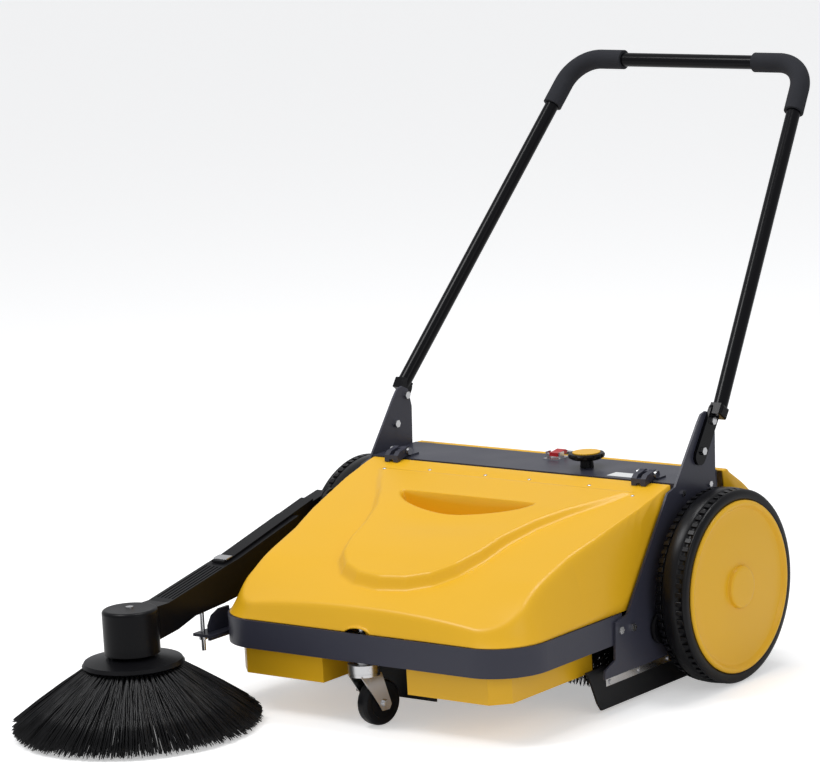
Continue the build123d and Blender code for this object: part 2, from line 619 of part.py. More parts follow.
TYRE_PROFILE = [
    (TYRE_IN, DISC_R), (TYRE_IN, 157), (TYRE_IN + 5, 162), (TYRE_IN + 12, 164), (TYRE_IN + 15, WHEEL_R),
    (TYRE_OUT - 15, WHEEL_R), (TYRE_OUT - 12, 164), (TYRE_OUT - 5, 162), (TYRE_OUT, 157), (TYRE_OUT, DISC_R),
]
DISC_PROFILE = [
    (PULLEY_OUT, AXLE_R + RUN_FIT), (PULLEY_OUT, 30), (TYRE_IN + 6, 30), (TYRE_IN + 6, 132),
    (TYRE_IN + 1, DISC_R - 4), (TYRE_IN + 1, DISC_R), (TYRE_OUT - 1, DISC_R), (TYRE_OUT + 3, DISC_R - 4),
    (TYRE_OUT + 3, DISC_R - 9), (TYRE_OUT - 2.5, DISC_R - 14), (TYRE_OUT, 60), (TYRE_OUT + 0.5, 30), (399, 30),
    (399, AXLE_R + RUN_FIT),
]
PULLEY_PROFILE = [
    (PULLEY_IN, AXLE_R + RUN_FIT), (PULLEY_IN, WHEEL_PULLEY_R), (PULLEY_IN + 1.6, WHEEL_PULLEY_R),
    (PULLEY_IN + 1.6, 38), (PULLEY_OUT - 1.6, 38), (PULLEY_OUT - 1.6, WHEEL_PULLEY_R),
    (PULLEY_OUT, WHEEL_PULLEY_R), (PULLEY_OUT, AXLE_R + RUN_FIT),
]
for wheel_side, wheel_name in ((-1, "left"), (1, "right")):
    save(turned(TYRE_PROFILE, wheel_side, 0, AXLE_Z), f"tyre_{wheel_name}")
    disc = turned(DISC_PROFILE, wheel_side, 0, AXLE_Z)
    save(disc + turned(PULLEY_PROFILE, wheel_side, 0, AXLE_Z), f"wheel_disc_{wheel_name}")
    hub = turned([(399, 0), (399, 29.9), (TYRE_OUT + 0.7, 29.9), (TYRE_OUT + 0.7, 35), (DISC_FACE + 1, 34),
                  (DISC_FACE + 2, 32), (DISC_FACE + 2, 0)], wheel_side, 0, AXLE_Z)
    save(hub, f"hub_cap_{wheel_name}")

# ---------------------------------------------------------------- main brush
shaft = rod_x(BRUSH_Y, BRUSH_Z, -318, PULLEY_OUT, SHAFT_R)
save(shaft + rod_x(BRUSH_Y, BRUSH_Z, -BRUSH_HALF - 6, BRUSH_HALF + 6, BRUSH_CORE_R), "main_brush_shaft")
with BuildPart() as brush_roll:
    with BuildSketch(Plane.YZ.offset(-BRUSH_HALF)) as brush_section:
        Circle(BRUSH_R)
        with PolarLocations(BRUSH_R, 12):
            Circle(9, mode=Mode.SUBTRACT)
        Circle(BRUSH_CORE_R, mode=Mode.SUBTRACT)
    extrude(amount=2 * BRUSH_HALF)
save(Pos(0, BRUSH_Y, BRUSH_Z) * brush_roll.part, "main_brush_bristles")


def pulley(side, y, z, radius, bore, x_in, x_out):
    profile = [(x_in, bore), (x_in, radius), (x_in + 1.6, radius), (x_in + 1.6, radius - 6),
               (x_out - 1.6, radius - 6), (x_out - 1.6, radius), (x_out, radius), (x_out, bore)]
    return turned(profile, side, y, z)


save(pulley(1, BRUSH_Y, BRUSH_Z, BRUSH_PULLEY_R, SHAFT_R, PULLEY_IN, PULLEY_OUT), "main_brush_pulley")


def belt(side, y1, z1, r1, y2, z2, r2):
    """A belt round two pulleys: arcs on the pulleys joined by tangent runs."""
    span = sqrt((y2 - y1) ** 2 + (z2 - z1) ** 2)
    along = atan2(z2 - z1, y2 - y1)
    lean = asin((r1 - r2) / span)

    def loop(grow):
        a1, a2 = r1 + grow, r2 + grow
        up = along + radians(90) - lean
        down = along - radians(90) + lean
        far = along + radians(180)
        with BuildLine() as outline:
            Line((y1 + a1 * cos(up), z1 + a1 * sin(up)), (y2 + a2 * cos(up), z2 + a2 * sin(up)))
            ThreePointArc((y2 + a2 * cos(up), z2 + a2 * sin(up)), (y2 + a2 * cos(along), z2 + a2 * sin(along)),
                          (y2 + a2 * cos(down), z2 + a2 * sin(down)))
            Line((y2 + a2 * cos(down), z2 + a2 * sin(down)), (y1 + a1 * cos(down), z1 + a1 * sin(down)))
            ThreePointArc((y1 + a1 * cos(down), z1 + a1 * sin(down)), (y1 + a1 * cos(far), z1 + a1 * sin(far)),
                          (y1 + a1 * cos(up), z1 + a1 * sin(up)))
        return outline.line

    middle = side * (PULLEY_IN + PULLEY_OUT) / 2
    solids = []
    for grow in (BELT_GAP + 2 * BELT_HALF, BELT_GAP):
        with BuildPart() as loop_part:
            with BuildSketch(Plane.YZ.offset(middle - BELT_HALF)):
                add(loop(grow))
                make_face()
            extrude(amount=2 * BELT_HALF)
        solids.append(loop_part.part)
    return solids[0] - solids[1]


save(belt(1, 0, AXLE_Z, 38, BRUSH_Y, BRUSH_Z, BRUSH_PULLEY_R - 6), "main_brush_belt")

# ---------------------------------------------------------------- side brush arm
pivot_pin = rod_x(PIVOT_Y, PIVOT_Z, -376, -PLATE_IN + 2.2, PIVOT_PIN_R)
pivot_pin = pivot_pin + rod_x(PIVOT_Y, PIVOT_Z, -376, -368.5, 13)
pivot_pin = pivot_pin + rod_x(PIVOT_Y, PIVOT_Z, -PLATE_IN, -PLATE_IN + 2.2, 13)
save(pivot_pin, "arm_pivot_pin")
save(pulley(-1, PIVOT_Y, PIVOT_Z, 26, PIVOT_PIN_R + RUN_FIT, PULLEY_IN, PULLEY_OUT), "side_drive_pulley")
save(belt(-1, 0, AXLE_Z, 38, PIVOT_Y, PIVOT_Z, 20), "side_drive_belt")

ARM_LINE = [
    (-146, 291), (-160, 300), (-205, 291), (-425, 236), (-455, 231), (-500, 222), (-500, 190),
    (-330, 215), (-215, 250), (-165, 261), (-146, 271),
]
ARM_FRONT_LINE = [
    (-260, 277), (-425, 236), (-455, 231), (-610, 200), (-684, 200), (-684, 142), (-648, 142), (-590, 150),
    (-545, 163), (-470, 168), (-400, 176), (-330, 200), (-260, 232),
]
ARM_WIDE_IN, ARM_WIDE_OUT = -330.0, -376.0
arm = slab(ARM_LINE, ARM_OUT, ARM_IN) + slab(ARM_FRONT_LINE, ARM_WIDE_OUT, ARM_WIDE_IN)
with BuildPart() as head:
    with BuildSketch(Plane.XY.offset(HEAD_LOW)):
        with Locations((HEAD_X, HEAD_Y)):
            Circle(HEAD_R)
    extrude(amount=HEAD_TOP - HEAD_LOW)
    fillet(head.edges().group_by(Axis.Z)[-1], radius=6)
arm = arm + head.part
arm = arm - rod_x(PIVOT_Y, PIVOT_Z, -400, 0, PIVOT_PIN_R + RUN_FIT)
arm = arm - rod_z(HEAD_X, HEAD_Y, 0, 190, SIDE_SHAFT_R + RUN_FIT)
for groove_x in (-369, -361, -353, -345, -337):
    arm = arm - slab([(-465, 235), (-465, 225), (-596, 199), (-596, 215)], groove_x, groove_x + 3)
save(arm, "side_brush_arm")
save(slab([(-205, 291.4), (-205, 295), (-425, 240), (-452, 236), (-452, 232.2), (-425, 236.4)],
          ARM_OUT, ARM_IN), "arm_guard")
save(rod_z(HEAD_X, HEAD_Y, HEAD_TOP, HEAD_TOP + 3, 6.5), "head_screw")

# stop on the frame that the arm rests on
STOP_X, STOP_Y = -352.0, -505.0
stop = box(STOP_X - 12, -BAND_OUT, STOP_Y - 12, STOP_Y + 60, 118, 123) - rod_z(STOP_X, STOP_Y, 100, 140, 4.3)
stop = stop - rod_z(-BAND_OUT + BAND_CORNER, BAND_FRONT + BAND_CORNER, 100, 140, BAND_CORNER)
stop = stop - box(-BAND_OUT, 0, BAND_FRONT, 0, 100, 140)
stop = stop + box(-BAND_OUT - 5, -BAND_OUT, STOP_Y + 66, STOP_Y + 100, 118, 158)
stop = stop + box(STOP_X - 12, -BAND_OUT, STOP_Y + 55, STOP_Y + 100, 118, 123)
stop = stop + slab([(-500, 108), (-500, 134), (-489, 150), (-470, 158), (-445, 158), (-445, 108)], -346, -341)
save(stop, "arm_stop")
stop_bolt = rod_z(STOP_X, STOP_Y, 92, 164.4, 4)
stop_bolt = stop_bolt + rod_z(STOP_X, STOP_Y, 159, 164.4, 7) + rod_z(STOP_X, STOP_Y, 111.5, 118, 7.5)
save(stop_bolt, "arm_stop_bolt")

# ---------------------------------------------------------------- side brush
brush_place = Pos(HEAD_X, HEAD_Y, 0)
with BuildPart() as side_plate_disc:
    with BuildSketch(Plane.XZ):
        with BuildLine():
            Polyline((0, 110), (SIDE_PLATE_R - 6, 108), (SIDE_PLATE_R, 112), (SIDE_PLATE_R - 4, 118),
                     (30, 127), (0, 127), close=True)
        make_face()
    revolve(axis=Axis.Z)
side_shaft = rod_z(HEAD_X, HEAD_Y, 127, 188, SIDE_SHAFT_R)
save(brush_place * side_plate_disc.part + side_shaft, "side_brush_plate")
with BuildPart() as side_bristles:
    with BuildSketch(Plane.XZ):
        with BuildLine():
            Polyline((52, 108.4), (SIDE_PLATE_R - 7, 107.7), (SIDE_PLATE_R + 12, 92), (SIDE_BRUSH_R, SIDE_RIM_Z + 5),
                     (SIDE_BRUSH_R - 7, SIDE_RIM_Z - 15), (150, 30), (60, 88), close=True)
        make_face()
    revolve(axis=Axis.Z)
save(brush_place * side_bristles.part, "side_brush_bristles")

# ---------------------------------------------------------------- caster
yaw = Pos(0, SWIVEL_Y, 0) * Rot(0, 0, -CASTER_YAW)
race = rod_z(0, SWIVEL_Y, 96, RACE_TOP, 27)
race = race + rod_z(0, SWIVEL_Y, RACE_TOP, RACE_TOP + 4.5, 12)
stem = rod_z(0, SWIVEL_Y, RACE_TOP + 4.5, 168, STEM_R)
nut = rod_z(0, SWIVEL_Y, RACE_TOP + 9.5, RACE_TOP + 17, 10.5)
save(race + rod_z(0, SWIVEL_Y, 90, RACE_TOP, STEM_R) + stem + nut, "caster_stem")
fork_top = rod_z(0, 0, 90, 95.5, 26) - rod_z(0, 0, 80, 200, STEM_R + RUN_FIT)
for cheek_side in (-1, 1):
    cheek_x = sorted((cheek_side * 15.5, cheek_side * 18))
    cheek = slab([(-22, 92), (22, 92), (CASTER_TRAIL + 13, CASTER_R - 4), (CASTER_TRAIL + 8, CASTER_R - 12),
                  (CASTER_TRAIL - 8, CASTER_R - 12), (CASTER_TRAIL - 13, CASTER_R - 2)], cheek_x[0], cheek_x[1])
    cheek = cheek - rod_x(CASTER_TRAIL, CASTER_R, -40, 40, 4.05)
    fork_top = fork_top + cheek
save(yaw * fork_top, "caster_fork")
caster_axle = rod_x(CASTER_TRAIL, CASTER_R, -21, 21, 4)
caster_axle = caster_axle + rod_x(CASTER_TRAIL, CASTER_R, 18, 23, 6.5) + rod_x(CASTER_TRAIL, CASTER_R, -23, -18, 6.5)
save(yaw * caster_axle, "caster_axle")
caster_wheel = turned([(-CASTER_HALF, 26), (-CASTER_HALF, 35), (-CASTER_HALF + 3, 38), (-CASTER_HALF + 7, CASTER_R),
                       (CASTER_HALF - 7, CASTER_R), (CASTER_HALF - 3, 38), (CASTER_HALF, 35), (CASTER_HALF, 26)],
                      1, CASTER_TRAIL, CASTER_R)
save(yaw * caster_wheel, "caster_tyre")
caster_hub = rod_x(CASTER_TRAIL, CASTER_R, -CASTER_HALF - 1, CASTER_HALF + 1, 26)
caster_hub = caster_hub - rod_x(CASTER_TRAIL, CASTER_R, -40, 40, 4.05)
save(yaw * caster_hub, "caster_hub")
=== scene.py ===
import bpy
import bmesh
import json
import math
import random
import numpy as np
from mathutils import Matrix, Vector


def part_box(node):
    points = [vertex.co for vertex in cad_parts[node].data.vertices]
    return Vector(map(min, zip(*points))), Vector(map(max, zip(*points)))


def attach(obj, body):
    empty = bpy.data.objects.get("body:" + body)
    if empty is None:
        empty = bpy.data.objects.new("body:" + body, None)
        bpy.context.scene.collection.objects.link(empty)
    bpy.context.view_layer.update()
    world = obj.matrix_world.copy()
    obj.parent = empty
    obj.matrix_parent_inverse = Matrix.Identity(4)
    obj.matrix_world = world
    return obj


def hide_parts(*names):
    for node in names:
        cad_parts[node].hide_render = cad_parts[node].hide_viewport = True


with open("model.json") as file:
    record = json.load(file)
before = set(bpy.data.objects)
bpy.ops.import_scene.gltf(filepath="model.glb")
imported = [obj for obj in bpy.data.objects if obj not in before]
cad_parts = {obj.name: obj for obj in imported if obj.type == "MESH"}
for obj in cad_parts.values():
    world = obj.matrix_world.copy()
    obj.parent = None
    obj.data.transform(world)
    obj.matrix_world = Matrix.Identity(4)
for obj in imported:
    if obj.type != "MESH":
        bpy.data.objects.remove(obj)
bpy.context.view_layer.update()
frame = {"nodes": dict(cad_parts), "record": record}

MM = 0.001
FULL_TURN = 2 * math.pi
rng = random.Random(7)
nodes = frame["nodes"]
joints = {joint["name"]: joint for joint in frame["record"]["behaviour"]["joints"]}
slot_name = {row["node"]: row["material_slot"] for row in frame["record"]["subparts"]}

# The pieces' lengths are in millimetres, from the floor point under the middle of the driving wheels' axle
# line. What Blender reads directly, such as edge widths, bump, floor and lights, is in metres.
wheel_l, wheel_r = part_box("tyre_left"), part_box("tyre_right")
OX = (wheel_l[0][0] + wheel_r[1][0]) / 2
OY = (wheel_r[0][1] + wheel_r[1][1]) / 2


def at(x, y, z):
    """A point given in millimetres from the axle line, in the row frame."""
    return (OX + x * MM, OY + y * MM, z * MM)


def joint_place(name):
    """A joint's point in millimetres from the axle line."""
    x, y, z = joints[name]["pos_m"]
    return (x - OX) / MM, (y - OY) / MM, z / MM


AXLE_Z = joint_place("wheel_right_spin")[2]
HEAD_X, HEAD_Y, _ = joint_place("side_brush_spin")
_, BRUSH_Y, BRUSH_Z = joint_place("main_brush_spin")


# ------------------------------------------------------------------ materials
def noise(tree, coord, scale, detail):
    node = tree.nodes.new("ShaderNodeTexNoise")
    node.inputs["Scale"].default_value = scale
    node.inputs["Detail"].default_value = detail
    tree.links.new(coord.outputs["Object"], node.inputs["Vector"])
    return node


BROAD_SCALE, BROAD_DETAIL, FINE_DETAIL = 7.0, 3.0, 6.0
BUMP_HEIGHT = 0.0006
# the unnamed colour sockets of a Mix node
MIX_A, MIX_B, MIX_RESULT = 6, 7, 2


def material(name, colour, rough, metal=0.0, grain=60.0, bump=0.1, spread=0.12, coat=0.0, tint=0.06,
             coat_rough=0.2, specular=0.5):
    """A plain finish whose roughness and colour drift a little, with a fine bump."""
    m = bpy.data.materials.new(name)
    m.use_nodes = True
    tree = m.node_tree
    shader = tree.nodes["Principled BSDF"]
    shader.inputs["Metallic"].default_value = metal
    shader.inputs["Coat Weight"].default_value = coat
    shader.inputs["Specular IOR Level"].default_value = specular
    shader.inputs["Coat Roughness"].default_value = coat_rough
    coord = tree.nodes.new("ShaderNodeTexCoord")
    fine = noise(tree, coord, grain, FINE_DETAIL)
    broad = noise(tree, coord, BROAD_SCALE, BROAD_DETAIL)
    ramp = tree.nodes.new("ShaderNodeMapRange")
    ramp.inputs["To Min"].default_value = max(0.02, rough - spread)
    ramp.inputs["To Max"].default_value = min(1.0, rough + spread)
    tree.links.new(broad.outputs["Fac"], ramp.inputs["Value"])
    tree.links.new(ramp.outputs["Result"], shader.inputs["Roughness"])
    mix = tree.nodes.new("ShaderNodeMix")
    mix.data_type = "RGBA"
    mix.inputs[MIX_A].default_value = (*[c * (1 - tint) for c in colour], 1)
    mix.inputs[MIX_B].default_value = (*[min(1.0, c * (1 + tint)) for c in colour], 1)
    tree.links.new(broad.outputs["Fac"], mix.inputs[0])
    tree.links.new(mix.outputs[MIX_RESULT], shader.inputs["Base Color"])
    relief = tree.nodes.new("ShaderNodeBump")
    relief.inputs["Strength"].default_value = bump
    relief.inputs["Distance"].default_value = BUMP_HEIGHT
    tree.links.new(fine.outputs["Fac"], relief.inputs["Height"])
    tree.links.new(relief.outputs["Normal"], shader.inputs["Normal"])
    return m


FINISH = {
    "frame_paint": material("frame_paint", (0.034, 0.035, 0.052), 0.36, grain=900, bump=0.12, specular=0.35),
    "black_paint": material("black_paint", (0.003, 0.003, 0.004), 0.20, grain=500, bump=0.03, coat=0.04,
                            spread=0.05, specular=0.12),
    "yellow_plastic": material("yellow_plastic", (0.79, 0.435, 0.012), 0.34, grain=1400, bump=0.05,
                               spread=0.06, tint=0.02, specular=0.38),
    "black_plastic": material("black_plastic", (0.004, 0.004, 0.005), 0.34, grain=1200, bump=0.12,
                              specular=0.14),
    "red_plastic": material("red_plastic", (0.42, 0.008, 0.012), 0.3, grain=800, bump=0.05),
    "zinc": material("zinc", (0.66, 0.66, 0.67), 0.25, metal=1.0, grain=700, bump=0.08),
    "blue_cap": material("blue_cap", (0.02, 0.12, 0.38), 0.35, grain=800, bump=0.05),
    "tyre_rubber": material("tyre_rubber", (0.004, 0.004, 0.005), 0.30, grain=900, bump=0.2, specular=0.2),
    "skirt_rubber": material("skirt_rubber", (0.006, 0.006, 0.007), 0.5, grain=600, bump=0.25, specular=0.3),
    "grip_foam": material("grip_foam", (0.018, 0.019, 0.024), 0.9, grain=2200, bump=0.9, spread=0.06,
                          specular=0.3),
    "bristle": material("bristle", (0.005, 0.005, 0.006), 0.36, grain=300, bump=0.1, specular=0.35),
    "label": material("label", (0.70, 0.71, 0.72), 0.5, grain=500, bump=0.05),
}


def dress(obj, slot):
    obj.data.materials.clear()
    obj.data.materials.append(FINISH[slot])


# thin or tiny nodes keep their plain edges
NO_BEVEL = {"hood_screws", "label_plate", "main_brush_belt", "side_drive_belt"}
EDGE_WIDTH = 0.0007
EDGE_ANGLE = math.radians(40)


def soften_edges(obj):
    edge = obj.modifiers.new("edge", "BEVEL")
    edge.width = EDGE_WIDTH
    edge.segments = 2
    edge.limit_method = "ANGLE"
    edge.angle_limit = EDGE_ANGLE
    edge.use_clamp_overlap = True


for node_name, node in nodes.items():
    dress(node, slot_name[node_name])
    if node_name not in NO_BEVEL:
        soften_edges(node)


# ------------------------------------------------------------------ helpers for meshes
def finish_piece(obj, body, slot, *instead):
    """Dress a piece, tie it to its body and hide the nodes it replaces."""
    dress(obj, slot)
    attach(obj, body)
    if instead:
        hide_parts(*instead)
    return obj


def mesh_object(name, verts, faces, smooth=True):
    me = bpy.data.meshes.new(name)
    me.from_pydata([tuple(v) for v in verts], [], [tuple(f) for f in faces])
    me.update()
    me.polygons.foreach_set("use_smooth", [smooth] * len(me.polygons))
    obj = bpy.data.objects.new(name, me)
    bpy.context.scene.collection.objects.link(obj)
    return obj


def outward(obj):
    """Turn every face to look outwards."""
    bm = bmesh.new()
    bm.from_mesh(obj.data)
    bmesh.ops.recalc_face_normals(bm, faces=bm.faces)
    bm.to_mesh(obj.data)
    bm.free()


def thicken(obj, millimetres):
    wall = obj.modifiers.new("thickness", "SOLIDIFY")
    wall.thickness = millimetres * MM
    wall.offset = -1


def revolved_x(name, profile, side, y, z, steps=128):
    """A surface turned about an axle along X. profile is (x outwards, radius)."""
    verts, faces = [], []
    count = len(profile)
    for i in range(steps):
        a = FULL_TURN * i / steps
        for px, r in profile:
            verts.append(at(side * px, y + r * math.cos(a), z + r * math.sin(a)))
    for i in range(steps):
        j = (i + 1) % steps
        for k in range(count - 1):
            faces.append((i * count + k, i * count + k + 1, j * count + k + 1, j * count + k))
    obj = mesh_object(name, verts, faces)
    outward(obj)
    return obj


def smooth01(t):
    """A soft step from 0 to 1."""
    t = np.clip(t, 0, 1)
    return t * t * (3 - 2 * t)


def along_line(y, line):
    """The value at y on a broken line of (y, value) points."""
    return np.interp(y, [p[0] for p in line], [p[1] for p in line])


# ------------------------------------------------------------------ hood
HOOD_HALF, HOOD_REAR, HOOD_FRONT, HOOD_LOW = 318.0, -63.0, -526.0, 163.0
HOOD_CORNER = 86.0
HOOD_WALL = 2.6
REAR_LIP = 14
# the height of the middle of the hood, as (y, z), and the offsets over which it is averaged
CREST = [(-526, 193), (-510, 201), (-500, 205), (-455, 226), (-390, 252), (-300, 281.5), (-210, 307),
         (-140, 325), (-104, 334.5), (-63, 346)]
CREST_BLUR = (-18, -9, 0, 9, 18)
# the front rises a little in the middle and falls towards the corners
NOSE_START, NOSE_LENGTH, NOSE_LIFT, NOSE_FALL, NOSE_HALF, NOSE_POWER = -400, 110, 4, 16, 250, 2.2
# half of the raised panel's outline as (y, x), its rise as (y, height), and the width of its step
PANEL_REAR = -100
PANEL_HALF = [(PANEL_REAR, 268), (-150, 236), (-193, 204), (-249, 170), (-308, 149), (-360, 140),
              (-405, 122), (-437, 92), (-456, 52), (-463, 0)]
PANEL_RISE = [(-463, 19), (-400, 18), (-300, 15), (-200, 11), (-110, 5), (PANEL_REAR, 0)]
PANEL_STEP = 14
# the shallow dip in front of the finger recess
DIP_X, DIP_Y, DIP_WIDE, DIP_LONG, DIP_DEEP = -12, -285, 95, 42, 6.0
# the finger recess, which has a wall at its rear and a floor that rises to an arc in front
PULL_X, PULL_Y, PULL_HALF, PULL_REACH, PULL_DEEP = -14.0, -186.0, 140.0, 66.0, 70.0
PULL_POWER, PULL_WALL, PULL_RIM, PULL_SLOPE = 1.7, 3, 1.03, 0.75
# how wide the leaning face is along the side, as (y, width), and at the front
SIDE_LEAN = [(-500, 30), (-420, 29), (-320, 26), (-258, 15), (-150, 4), (PANEL_REAR, 2.5)]
FRONT_LEAN = 13.0
LEAN_SHARPNESS = 9.0
# the notch over the caster's bolt
NOTCH_HALF, NOTCH_HIGH, NOTCH_LONG = 26, 10, 8
# rows close together at the front edge and round the recess, even between them
FRONT_ROWS = [0, 0.6, 1.4, 2.4, 3.6, 5, 6.6, 8.4, 10.4, 12.6, 15, 17.6, 20.5, 23.5, 27, 31, 35.5]
RECESS_ROWS = [-189.5, -188.6, -187.8, -187, -186.2, -185.4, -184.5]
REAR_ROWS = [-104, -102, -100, -98, -94, -88, -80, -72, -66, -63.6, HOOD_REAR]
RIM_COLUMNS = np.array([0, 1.6, 3.4, 5.4, 7.6, 10, 12.6, 15.4, 18.4, 21.4, 24.4, 27, 29.4, 31.6, 34, 37,
                        41, 46])
INNER_COLUMNS = 150
# even rows, as (first y, last y, count), in front of the recess wall and behind it
FRONT_OF_WALL_ROWS, BEHIND_WALL_ROWS = (-486, -192, 118), (-182, -106, 30)


def panel_distance(x, y):
    """Distance inside the outline of the raised panel, negative outside it."""
    right = [(w, py) for py, w in PANEL_HALF]
    left = [(-w, py) for py, w in reversed(PANEL_HALF[:-1])]
    outline = np.array(right + left)
    best = np.full(x.shape, 1e9)
    inside = np.zeros(x.shape, bool)
    for k in range(len(outline)):
        a, b = outline[k], outline[(k + 1) % len(outline)]
        e = b - a
        t = np.clip(((x - a[0]) * e[0] + (y - a[1]) * e[1]) / (e @ e), 0, 1)
        # the rear edge has no step, so it doesn't count
        if not (a[1] == PANEL_REAR and b[1] == PANEL_REAR):
            best = np.minimum(best, np.hypot(x - a[0] - t * e[0], y - a[1] - t * e[1]))
        inside ^= ((a[1] > y) != (b[1] > y)) & (x < (b[0] - a[0]) * (y - a[1]) / (b[1] - a[1] + 1e-9) + a[0])
    return np.where(inside, best, -best)


def recess_depth(x, y):
    reach = PULL_REACH * np.sqrt(np.clip(1 - np.abs((x - PULL_X) / PULL_HALF) ** PULL_POWER, 0, 1))
    back = PULL_Y - y
    share = np.where(reach > 1, back / np.maximum(reach, 1), 2)
    wall = smooth01(back / PULL_WALL)
    slope = smooth01((PULL_RIM - share) / PULL_SLOPE)
    return PULL_DEEP * np.clip(reach / PULL_REACH, 0, 1) * wall * slope * (back > 0)


def hood_height(x, y):
    """The hood's top, before its edges lean down."""
    top = sum(along_line(y + s, CREST) for s in CREST_BLUR) / len(CREST_BLUR)
    nose = smooth01((NOSE_START - y) / NOSE_LENGTH)
    top = top + nose * (NOSE_LIFT - NOSE_FALL * np.abs(x / NOSE_HALF) ** NOSE_POWER)
    top = top + along_line(y, PANEL_RISE) * smooth01((panel_distance(x, y) + PANEL_STEP / 2) / PANEL_STEP)
    dip = np.exp(-((x - DIP_X) / DIP_WIDE) ** 2 - ((y - DIP_Y) / DIP_LONG) ** 2)
    return top - DIP_DEEP * dip - recess_depth(x, y)


def hood_edge(x, y):
    """The distance in from the plan outline, and the width of the leaning face there."""
    ax = np.abs(x)
    side_lean = along_line(y, SIDE_LEAN)
    side = HOOD_HALF - ax
    front = y - HOOD_FRONT
    cx, cy = ax - (HOOD_HALF - HOOD_CORNER), (HOOD_FRONT + HOOD_CORNER) - y
    corner = (cx > 0) & (cy > 0)
    turn = np.arctan2(np.maximum(cy, 0), np.maximum(cx, 1e-6)) / (math.pi / 2)
    distance = np.where(corner, HOOD_CORNER - np.hypot(cx, cy), np.minimum(side, front))
    plain = np.where(side < front, side_lean, FRONT_LEAN)
    return distance, np.where(corner, side_lean * (1 - turn) + FRONT_LEAN * turn, plain)


def rounded_rise(q):
    """Rises with q from 0 to 1 in a straight line, and rounds over at the top."""
    g = -np.log(np.exp(-LEAN_SHARPNESS * q) + np.exp(-LEAN_SHARPNESS)) / LEAN_SHARPNESS
    g0 = -math.log(1 + math.exp(-LEAN_SHARPNESS)) / LEAN_SHARPNESS
    return np.clip((g - g0) / (1 - g0), 0, 1)


def hood_row(y):
    """The points of the hood across the machine at one y."""
    cy = (HOOD_FRONT + HOOD_CORNER) - y
    half = HOOD_HALF
    if cy > 0:
        half = HOOD_HALF - HOOD_CORNER + math.sqrt(max(0.0, HOOD_CORNER ** 2 - cy ** 2))
    core = half - RIM_COLUMNS[-1]
    inner = np.linspace(0, 1, INNER_COLUMNS)[1:-1]
    xs = np.concatenate([-half + RIM_COLUMNS, -core + 2 * core * inner, (half - RIM_COLUMNS)[::-1]])
    row_y = np.full(xs.shape, y)
    distance, lean = hood_edge(xs, row_y)
    rise = rounded_rise(np.maximum(distance, 0) / lean)
    z = HOOD_LOW + (hood_height(xs, row_y) - HOOD_LOW) * rise
    if y < HOOD_FRONT + NOTCH_LONG:
        arch = NOTCH_HIGH * np.sqrt(np.clip(1 - (xs / NOTCH_HALF) ** 2, 0, 1))
        z = np.maximum(z, HOOD_LOW + np.where(np.abs(xs) < NOTCH_HALF, arch, 0))
    return [at(a, y, c) for a, c in zip(xs, z)]


def make_hood():
    row_places = np.concatenate([
        HOOD_FRONT + np.array(FRONT_ROWS), np.linspace(*FRONT_OF_WALL_ROWS), RECESS_ROWS,
        np.linspace(*BEHIND_WALL_ROWS), REAR_ROWS,
    ])
    grid = [hood_row(y) for y in row_places]
    # a short lip down the rear edge
    grid.append([(x, y, z - REAR_LIP * MM) for x, y, z in grid[-1]])
    rows, cols = len(grid), len(grid[0])
    faces = [(i * cols + j, i * cols + j + 1, (i + 1) * cols + j + 1, (i + 1) * cols + j)
             for i in range(rows - 1) for j in range(cols - 1)]
    hood = mesh_object("hood_shell", [point for row in grid for point in row], faces)
    thicken(hood, HOOD_WALL)
    finish_piece(hood, "hood", "yellow_plastic", "hood")


SCREW_R, SCREW_FLATNESS, SCREW_SUNK = 3.6, 0.45, 0.4
SCREW_PLACES = [(-252, -112), (-168, -92), (-48, -92), (45, -92), (170, -92), (272, -112)]


def make_hood_screw(k, x, y):
    top = float(hood_height(np.array([float(x)]), np.array([float(y)]))[0])
    bpy.ops.mesh.primitive_uv_sphere_add(segments=20, ring_count=10, radius=SCREW_R * MM,
                                         location=at(x, y, top - SCREW_SUNK))
    screw = bpy.context.object
    screw.name = f"hood_screw_{k}"
    screw.scale = (1, 1, SCREW_FLATNESS)
    screw.data.polygons.foreach_set("use_smooth", [True] * len(screw.data.polygons))
    # the first of them stands for the node that groups all six
    instead = ["hood_screws"] if k == 0 else []
    finish_piece(screw, "hood", "zinc", *instead)


# ------------------------------------------------------------------ rear cover
COVER_HALF = 329.5
COVER_WALL = 2.8
COVER_ROUND, COVER_ROUND_ANGLE = 5, math.radians(50)
COVER_TOP = [(76, 344), (92, 344)]
COVER_CURVE = [(96, 338), (152, 298), (192, 250), (210, 190), (216, 84)]
COVER_FRONT = [(176, 84), (160, 240), (76, 300)]


def smooth_line(points, steps=10):
    """Points along a smooth curve through the given ones."""
    pts = [np.array(q, float) for q in points]
    pts = [2 * pts[0] - pts[1]] + pts + [2 * pts[-1] - pts[-2]]
    line = []
    for a, b, c, d in zip(pts, pts[1:], pts[2:], pts[3:]):
        for k in range(steps):
            t = k / steps
            line.append(0.5 * (2 * b + (c - a) * t + (2 * a - 5 * b + 4 * c - d) * t ** 2
                               + (3 * b - a - 3 * c + d) * t ** 3))
    return line + [pts[-2]]


